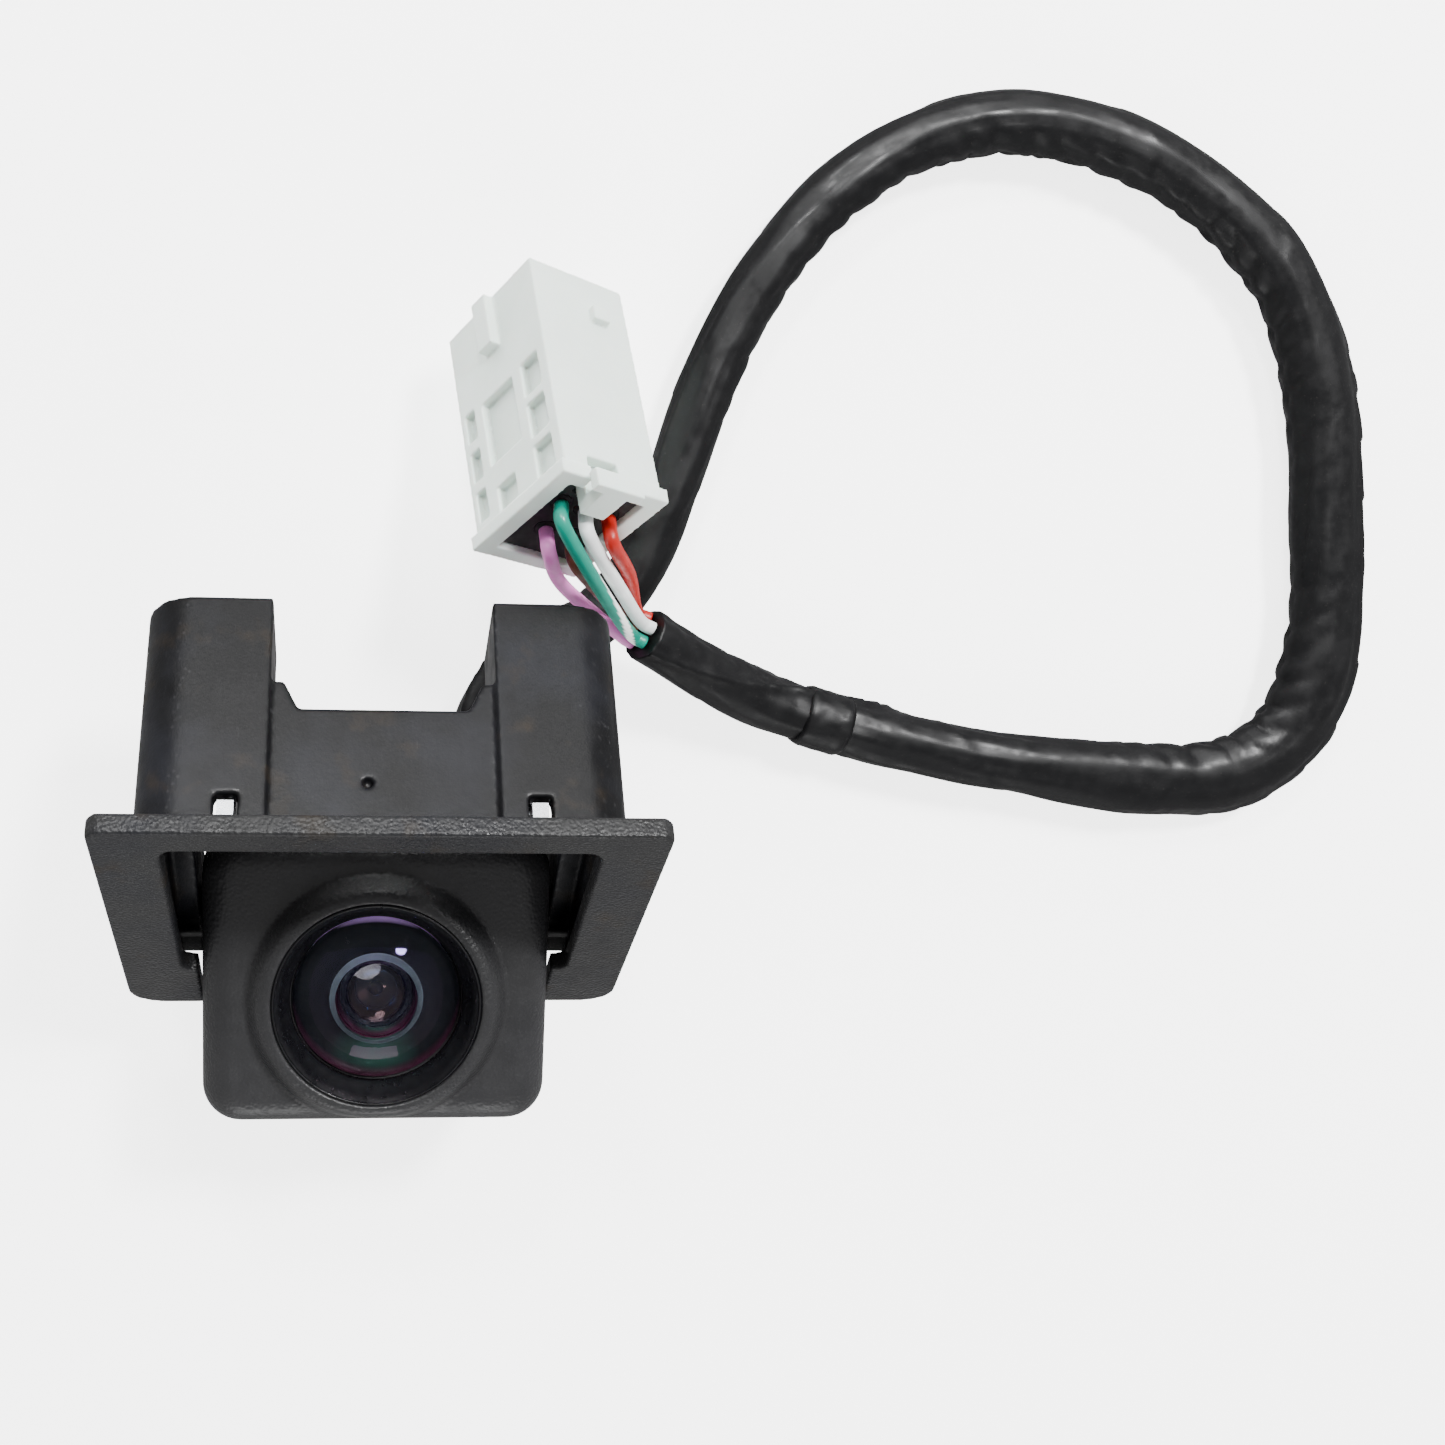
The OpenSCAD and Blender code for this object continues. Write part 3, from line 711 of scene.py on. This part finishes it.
def build_harness():
    """PVC tape round five wires: a seam ridge that twists along it, tape
    overlaps, and creases on the inside of its bends."""
    coarse = evenly(spline(HARNESS_POINTS, 12), 2.0)
    path = evenly(smoothed(coarse, 3), HARNESS_STEP)
    total = line_length(path)
    frames = frames_along(path)
    bends = []
    for i in range(len(path)):
        before = frames[max(i - BEND_REACH, 0)][0]
        after = frames[min(i + BEND_REACH, len(path) - 1)][0]
        bends.append(before.cross(after).z)

    def shape(distance, angle):
        share = distance / total
        wide = table_value(HARNESS_WIDTHS, share)
        spot = min(int(distance / HARNESS_STEP), len(bends) - 1)
        seam_at = 2.2 + 2.4 * math.sin(distance * 0.03) + distance * 0.018
        off = (angle - seam_at + math.pi) % (2 * math.pi) - math.pi
        seam = 0.42 * math.exp(-(off / 0.16) ** 2)
        flap = 0.16 * smoothstep(-1.1, 0.0, off) * (off < 0)
        lap = (distance / LAP_LENGTH + angle / (2 * math.pi)) % 1.0
        lap_step = 0.1 * smoothstep(0.0, 0.04, lap) * (1 - lap)
        inward = -math.copysign(1, bends[spot]) * math.cos(angle)
        squeeze = max(inward, 0.0) * min(abs(bends[spot]) * 3.2, 1.0)
        skew = distance * 0.9 + angle * 1.7
        crease = squeeze * 0.34 * (
            abs(math.sin(skew + 1.2 * noise.noise(
                Vector((distance * 0.25, angle, 3.0))))) - 0.5)
        lump = 0.24 * noise.noise(Vector((
            distance * 0.13, math.cos(angle) * 0.9, math.sin(angle) * 0.9)))
        fine = 0.17 * noise.noise(Vector((
            distance * 0.1, math.cos(angle + distance * 0.02) * 3.4,
            math.sin(angle + distance * 0.02) * 3.4)))
        push = seam + flap + lap_step + crease + lump + fine
        low = underside(angle)
        return wide, 0.93, push * (1 - low) - 0.05 * low

    piece = tube("harness_wrap", path, HARNESS_D / 2 - 0.12, HARNESS_SIDES,
                 shape)
    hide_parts("harness")
    dress(piece, TAPE)
    return piece, path


TAPE_END_AT = 0.895     # share of the harness's length
TAPE_END_L = 5.2


def tape_end(path):
    """The last turn of the tape, a raised band round the wrap."""
    start = TAPE_END_AT * line_length(path)
    run, distance = [], 0.0
    for a, b in zip(path, path[1:]):
        distance += (b - a).length
        if start < distance < start + TAPE_END_L:
            run.append(b)

    def shape(distance, angle):
        edge = min(distance, TAPE_END_L - distance)
        ragged = 0.5 * noise.noise(Vector((angle * 1.5, distance, 7.0)))
        fray = 0.12 * noise.noise(Vector((angle * 5, distance * 1.4, 2.0)))
        low = underside(angle)
        lift = 0.24 * smoothstep(0, 0.6, edge + 0.5 * ragged)
        return 1.0, 0.93, (lift + fray) * (1 - low) - 0.4 * low

    piece = tube("tape_end", run, HARNESS_D / 2 - 0.05, HARNESS_SIDES, shape)
    return dress(piece, TAPE)


WIRE_SIDES = 24
WIRE_CLEAR = 0.35       # gap from the insert's face
WIRE_LEAD = 3           # where a wire starts to bend, from the same face
WRAP_CLEAR = 0.25       # the same two at the wrap's cut end
WRAP_LEAD = 2
BUNDLE_R = 1.45

# The stripe's place and half width as shares of a turn, and its twist
STRIPE_AT = 0.95
STRIPE_HALF = 0.09
STRIPE_TWIST = 0.02

# Hole in the insert, angle in the wrap, middle of the run, colour, stripe
WIRES = {
    "pink": ((-1.4, -1.6), 202, (16.7, 25.2, 12.7), (0.74, 0.22, 0.58), None),
    "green": ((-2.6, 2.2), 121, (20.7, 23.6, 16.3), (0.0, 0.24, 0.17),
              (0.85, 0.88, 0.86)),
    "white": ((0, 2.2), 58, (21.4, 25.3, 16.0), (0.80, 0.82, 0.82), None),
    "brown": ((1.4, -1.6), 273, (20.0, 24.8, 13.1), (0.12, 0.035, 0.02), None),
    "red": ((2.6, 2.2), 347, (22.4, 26.5, 14.8), (0.4, 0.01, 0.005), None),
}


def add_stripe(piece):
    """Marks the points of a wire that lie on its stripe."""
    mark = piece.data.attributes.new("stripe", "FLOAT", "POINT")
    for i, value in enumerate(mark.data):
        turn = (i % WIRE_SIDES) / WIRE_SIDES + STRIPE_TWIST * (i // WIRE_SIDES)
        off = abs((turn - STRIPE_AT + 0.5) % 1.0 - 0.5)
        value.value = 1.0 if off < STRIPE_HALF else 0.0


def build_wires():
    """Five bare wires, from the wrap's cut end to the plug's insert."""
    end = Vector(HARNESS_POINTS[-1])
    way = (end - Vector(HARNESS_POINTS[-2])).normalized()
    side = way.cross(Vector((0, 0, 1))).normalized()
    up = side.cross(way)
    made = []
    for name, (hole, angle, bow, color, stripe) in WIRES.items():
        a = math.radians(angle)
        spot = BUNDLE_R * (math.cos(a) * side + math.sin(a) * up)
        points = [
            plug_point(hole[0], INSERT_FACE - WIRE_CLEAR, hole[1]),
            plug_point(hole[0], INSERT_FACE - WIRE_LEAD, hole[1]),
            Vector(bow), end + WRAP_LEAD * way + spot,
            end + WRAP_CLEAR * way + spot,
        ]
        path = smoothed(spline(points, 14), 4)
        piece = tube(f"wire_{name}_jacket", path, WIRE_R, WIRE_SIDES)
        if stripe:
            add_stripe(piece)
        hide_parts(f"wire_{name}")
        dress(piece, wire_jacket(f"{name}_jacket", color, stripe))
        made.append(piece)
    return made


# ---------------------------------------------------------------- case

def outline_distance(x, y, inset=0.0):
    """How far a point lies outside the case's rounded outline."""
    middle = (CASE_BACK - CASE_FRONT) / 2
    r = CASE_R - inset
    qx = abs(x) - (CASE_W / 2 - inset - r)
    qy = abs(y - middle) - ((CASE_BACK + CASE_FRONT) / 2 - inset - r)
    return math.hypot(max(qx, 0), max(qy, 0)) + min(max(qx, qy), 0) - r


def outline_reach(a, inset=0.0):
    """Distance from the lens axis to the outline, at an angle."""
    low, high = 2.0, 30.0
    for _ in range(30):
        mid = (low + high) / 2
        if outline_distance(mid * math.cos(a), mid * math.sin(a), inset) > 0:
            high = mid
        else:
            low = mid
    return low


def face_height(x, y):
    """The camera's face: rolled edges and a softly blended ring."""
    depth = min(max(-outline_distance(x, y), 0.0), FACE_ROLL)
    back = FACE_ROLL - depth
    drop = FACE_ROLL - math.sqrt(max(FACE_ROLL ** 2 - back ** 2, 0.0))
    out = (math.hypot(x, y) - BOSS_TOP_R) / (BOSS_FOOT - BOSS_TOP_R)
    out = min(max(out, 0.0), 1.0) ** 1.5
    ring = BOSS_H * (1 + math.cos(math.pi * out)) / 2
    return CASE_H - drop + ring


def build_front_housing():
    """Rings of points from the cone's mouth over the face, down the sides
    and back up the inside."""
    segments = 192
    face_steps = 46
    mouth = HOOD_R + 0.12
    hood_seat = HOOD_R + 0.02
    barrel_hole = BARREL_R + 0.03
    under_face, collar_foot, collar_r = 17.2, 14.4, 9.8
    rows = []

    def row(reach, height):
        line = []
        for k in range(segments):
            a = 2 * math.pi * k / segments
            r = reach(a)
            x, y = r * math.cos(a), r * math.sin(a)
            line.append((x, LENS_Y + y, height(x, y)))
        rows.append(line)

    outer = [outline_reach(2 * math.pi * k / segments)
             for k in range(segments)]
    inner = [outline_reach(2 * math.pi * k / segments, CASE_WALL)
             for k in range(segments)]

    def at(line, a):
        return line[round(a / (2 * math.pi) * segments) % segments]

    for i in range(face_steps + 1):
        t = 1 - (1 - i / face_steps) ** 1.8
        row(lambda a, t=t: mouth + (at(outer, a) - mouth) * t, face_height)
    for z in (16.5, 15, 13, 11, 9.4, 8.9):
        row(lambda a: at(outer, a), lambda x, y, z=z: z)
    row(lambda a: at(outer, a) - 0.15, lambda x, y: 8.66)
    row(lambda a: at(outer, a) - 0.4, lambda x, y: SPLIT_Z)
    row(lambda a: at(inner, a), lambda x, y: SPLIT_Z)
    row(lambda a: at(inner, a), lambda x, y: under_face)
    row(lambda a: collar_r + 0.1, lambda x, y: under_face)
    row(lambda a: collar_r, lambda x, y: collar_foot)
    row(lambda a: barrel_hole, lambda x, y: collar_foot)
    row(lambda a: barrel_hole, lambda x, y: RIM_Z)
    row(lambda a: hood_seat, lambda x, y: RIM_Z)
    row(lambda a: hood_seat, lambda x, y: CASE_H + BOSS_H - 0.14)
    verts = [v for line in rows for v in line]
    piece = new_piece("camera_face", verts,
                      [f[::-1] for f in grid_faces(len(rows), segments, 0,
                                                   True)])
    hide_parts("front_housing")
    return dress(piece, CASE)


def build_case():
    build_front_housing()
    dress(softened("rear_housing", "case_back", 0.22, 4), CASE)
    dress(softened("cable_grommet", "grommet", 0.15, 4), RUBBER)


# ---------------------------------------------------------------- lens

def build_hood():
    """The glossy cone, stepped once, that leads in to the front glass."""
    top = CASE_H + BOSS_H - 0.1
    hood = [(7.8, RIM_Z), (HOOD_R, RIM_Z), (HOOD_R, top - 0.25)]
    hood += arc(HOOD_R - 0.25, top - 0.25, 0.25, 0, 90, 5)
    hood += [(9.2, top - 0.02), (9.05, top - 0.18), (8.6, top - 0.72),
             (8.58, top - 0.8), (8.1, top - 1.4), (7.86, RIM_Z + 0.62),
             (7.8, RIM_Z + 0.5)]
    piece = lathe("cone_hood", hood)
    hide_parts("lens_hood")
    dress(piece, GLOSS)


def build_front_glass():
    """A shallow dome over a deep hollow. Its faces are glass, black paint with
    painted reflections and a painted glow on the flat rim and side, and silver
    round the hollow."""
    dome = (GLASS_R ** 2 + GLASS_RISE ** 2) / (2 * GLASS_RISE)
    middle = RIM_Z + GLASS_RISE - dome
    edge = math.degrees(math.asin((RIM_Z - middle) / dome))
    hollow_mid = RIM_Z + GLASS_RISE - 1.4 - HOLLOW_R
    hollow_edge = math.degrees(math.asin((SEAT_Z - hollow_mid) / HOLLOW_R))
    hollow_top = hollow_mid + HOLLOW_R
    glass = [(0, RIM_Z + GLASS_RISE)]
    glass += arc(0, middle, dome, 89, edge + 1, 40)
    glass += [(GLASS_R, RIM_Z - 0.1), (GLASS_R, SEAT_Z + 0.05),
              (GLASS_R - 0.05, SEAT_Z), (6.5, SEAT_Z), (5.0, SEAT_Z)]
    glass += arc(0, hollow_mid, HOLLOW_R, hollow_edge, 88, 24)
    glass += [(0, hollow_top)]
    piece = lathe("dome_glass", glass[::-1], closed=False)
    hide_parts("lens_front_element")
    dress(piece, FRONT_GLASS)
    piece.data.materials.append(EDGE_PAINT_WITH_PAINTED_REFLECTIONS)
    piece.data.materials.append(RIM_SILVER)
    # The paint slot holds black paint with painted reflections and a painted
    # glow.
    paint, silver = 1, 2
    for polygon in piece.data.polygons:
        spot = polygon.center / MM
        reach = math.hypot(spot.x, spot.y - LENS_Y)
        on_side = spot.z < RIM_Z and reach > GLASS_R - 0.1
        if spot.z < SEAT_Z + 0.04 or on_side:
            polygon.material_index = paint
        elif spot.z < hollow_top and 3.4 < reach < 3.85:
            polygon.material_index = silver


def build_barrel():
    """The barrel, with an O-ring groove, a stepped bore and a glass seat."""
    pocket = GLASS_R + 0.03
    seat = SEAT_Z - 0.05
    barrel = [(BARREL_R, 15.6), (BARREL_R, 16.9), (7.1, 16.9), (7.1, 18.1),
              (BARREL_R, 18.1), (BARREL_R, RIM_Z - 0.3),
              (pocket, RIM_Z - 0.3), (pocket, seat), (6.0, seat)]
    for step in range(5):
        r, z = 6.0 - 0.14 * step, SEAT_Z - 0.3 - 0.42 * step
        barrel += [(r, z), (r - 0.08, z - 0.12), (r - 0.14, z - 0.14)]
    barrel += [(BORE_R + 0.03, 16.4), (BORE_R + 0.03, 9.4), (4, 9.4),
               (4, 7.7), (4.6, 7.7), (4.6, 7.2), (6.1, 7.2), (6.1, 15.6)]
    piece = lathe("barrel_body", barrel)
    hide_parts("lens_barrel")
    dress(piece, LENS_BLACK)


def build_inner_lens():
    """The retaining ring, the barrel's O-ring and the two inner glasses."""
    ring = [(BORE_R, RING_Z), (BORE_R, RING_Z + 1.2), (3.8, RING_Z + 1.2),
            (3.76, RING_Z + 1.18), (3.4, RING_Z + 0.74), (3.3, RING_Z + 0.64),
            (3.3, RING_Z)]
    piece = lathe("clamp_ring", ring)
    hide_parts("lens_retaining_ring")
    dress(piece, RING)

    o_ring = arc(7.66, 17.5, 0.54, 0, 345, 23)
    piece = lathe("barrel_o_ring", o_ring)
    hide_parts("lens_o_ring")
    dress(piece, RUBBER)

    dish_mid, dish = RING_Z + 6.4, 7.4
    dish_edge = math.degrees(math.asin((RING_Z - dish_mid) / dish))
    middle_glass = [(0, MIDDLE_Z), (1.0, MIDDLE_Z), (BORE_R, MIDDLE_Z),
                    (BORE_R, RING_Z)]
    middle_glass += arc(0, dish_mid, dish, dish_edge, -89, 20)
    middle_glass += [(0, dish_mid - dish)]
    piece = lathe("middle_glass", middle_glass, closed=False)
    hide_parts("lens_middle_element")
    dress(piece, INNER_GLASS)

    rear_mid, rear = STOP_Z - 9, 9.0
    rear_edge = math.degrees(math.acos(BORE_R / rear))
    rear_back = 9.4
    rear_glass = [(0, rear_back), (1.0, rear_back), (BORE_R, rear_back)]
    rear_glass += arc(0, rear_mid, rear, rear_edge, 89, 18)
    rear_glass += [(0, rear_mid + rear)]
    piece = lathe("rear_glass", rear_glass, closed=False)
    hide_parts("lens_rear_element")
    dress(piece, INNER_GLASS)


def dress_inside():
    """Materials for the CAD nodes that stay as they are."""
    for node, material in (
            ("lens_spacer", LENS_BLACK), ("aperture_stop", STOP_PLATE),
            ("ir_filter", FILTER), ("image_sensor", CHIP),
            ("sensor_board", BOARD), ("board_header", INSERT),
            ("power_board", BOARD), ("processor_chip", CHIP),
            ("board_components", COMPONENT), ("board_screws", STEEL),
            ("housing_screws", STEEL), ("housing_seal", RUBBER),
            ("mounting_screws", STEEL)):
        dress_node(node, material)


# ---------------------------------------------------------------- bracket

def build_bracket():
    piece = softened("trim_bracket", "bracket_moulding", 0.18, 9)
    dress(piece, BRACKET)
    for side in ("left", "right"):
        dress_node(f"clip_spring_{side}", STEEL)


# ---------------------------------------------------------------- plug

def build_plug():
    """The plug's pieces, and the two CAD nodes that the cord carries."""
    shell = dress(softened("connector_shell", "plug_shell", 0.13, 4), PLUG)
    insert = dress(softened("connector_insert", "plug_insert", 0.13, 3),
                   INSERT)
    tab = dress(softened("connector_lock_tab", "plug_lock_tab", 0.1, 4),
                PLUG, "lock_tab")
    dress_node("connector_terminals", TERMINAL)
    dress_node("connector_seals", RUBBER)
    return [shell, insert, tab, NODES["connector_terminals"],
            NODES["connector_seals"]]


# ---------------------------------------------------------------- stage

def area_light(name, place, target, size, power, height=None):
    """A round softbox, or a strip where it has a height."""
    data = bpy.data.lights.new(name, "AREA")
    data.shape = "RECTANGLE" if height else "DISK"
    data.size = size
    data.size_y = height or size
    data.energy = power
    light = bpy.data.objects.new(name, data)
    light.location = place
    aim = Vector(target) - Vector(place)
    light.rotation_euler = aim.to_track_quat("-Z", "Y").to_euler()
    bpy.context.scene.collection.objects.link(light)
    return light


def build_stage():
    """A pale floor, an even sky and soft lights placed in metres."""
    half, level = 9000, -0.05
    corners = [(-half, -half, level), (half, -half, level),
               (half, half, level), (-half, half, level)]
    floor = new_piece("floor", corners, [(0, 1, 2, 3)], smooth=False)
    floor.data.materials.append(floor_look())
    floor.visible_glossy = False
    world = bpy.data.worlds.new("studio")
    world.use_nodes = True
    sky = world.node_tree.nodes["Background"]
    sky.inputs["Color"].default_value = (1, 1, 1, 1)
    sky.inputs["Strength"].default_value = 0.42
    bpy.context.scene.world = world
    area_light("key", (0.24, 0.34, 0.45), (0.02, 0.0, 0.01), 0.11, 6)
    area_light("top", (-0.05, 0.34, 0.3), (0, 0, 0.02), 0.06, 1.2)
    area_light("low_front", (0, -0.5, 0.17), (0, 0, 0.02), 0.3, 0.8,
               height=0.2)
    fill = area_light("fill", (-0.4, 0.1, 0.45), (0.02, 0.0, 0.01), 0.35, 0.5)
    front = area_light("front", (0.1, -0.42, 0.35), (0.02, 0.0, 0.01), 0.25,
                       1.6)
    for light in (fill, front):
        light.visible_glossy = False
    area_light("back", (0.02, 0.8, 0.3), (0, -0.01, 0.02), 0.9, 2,
               height=0.06)


# ---------------------------------------------------------------- making

add_camera()
harness, harness_path = build_harness()
loose_tape = tape_end(harness_path)
wires = build_wires()
plug = build_plug()
build_case()
build_hood()
build_front_glass()
build_barrel()
build_inner_lens()
dress_inside()
build_bracket()
build_stage()
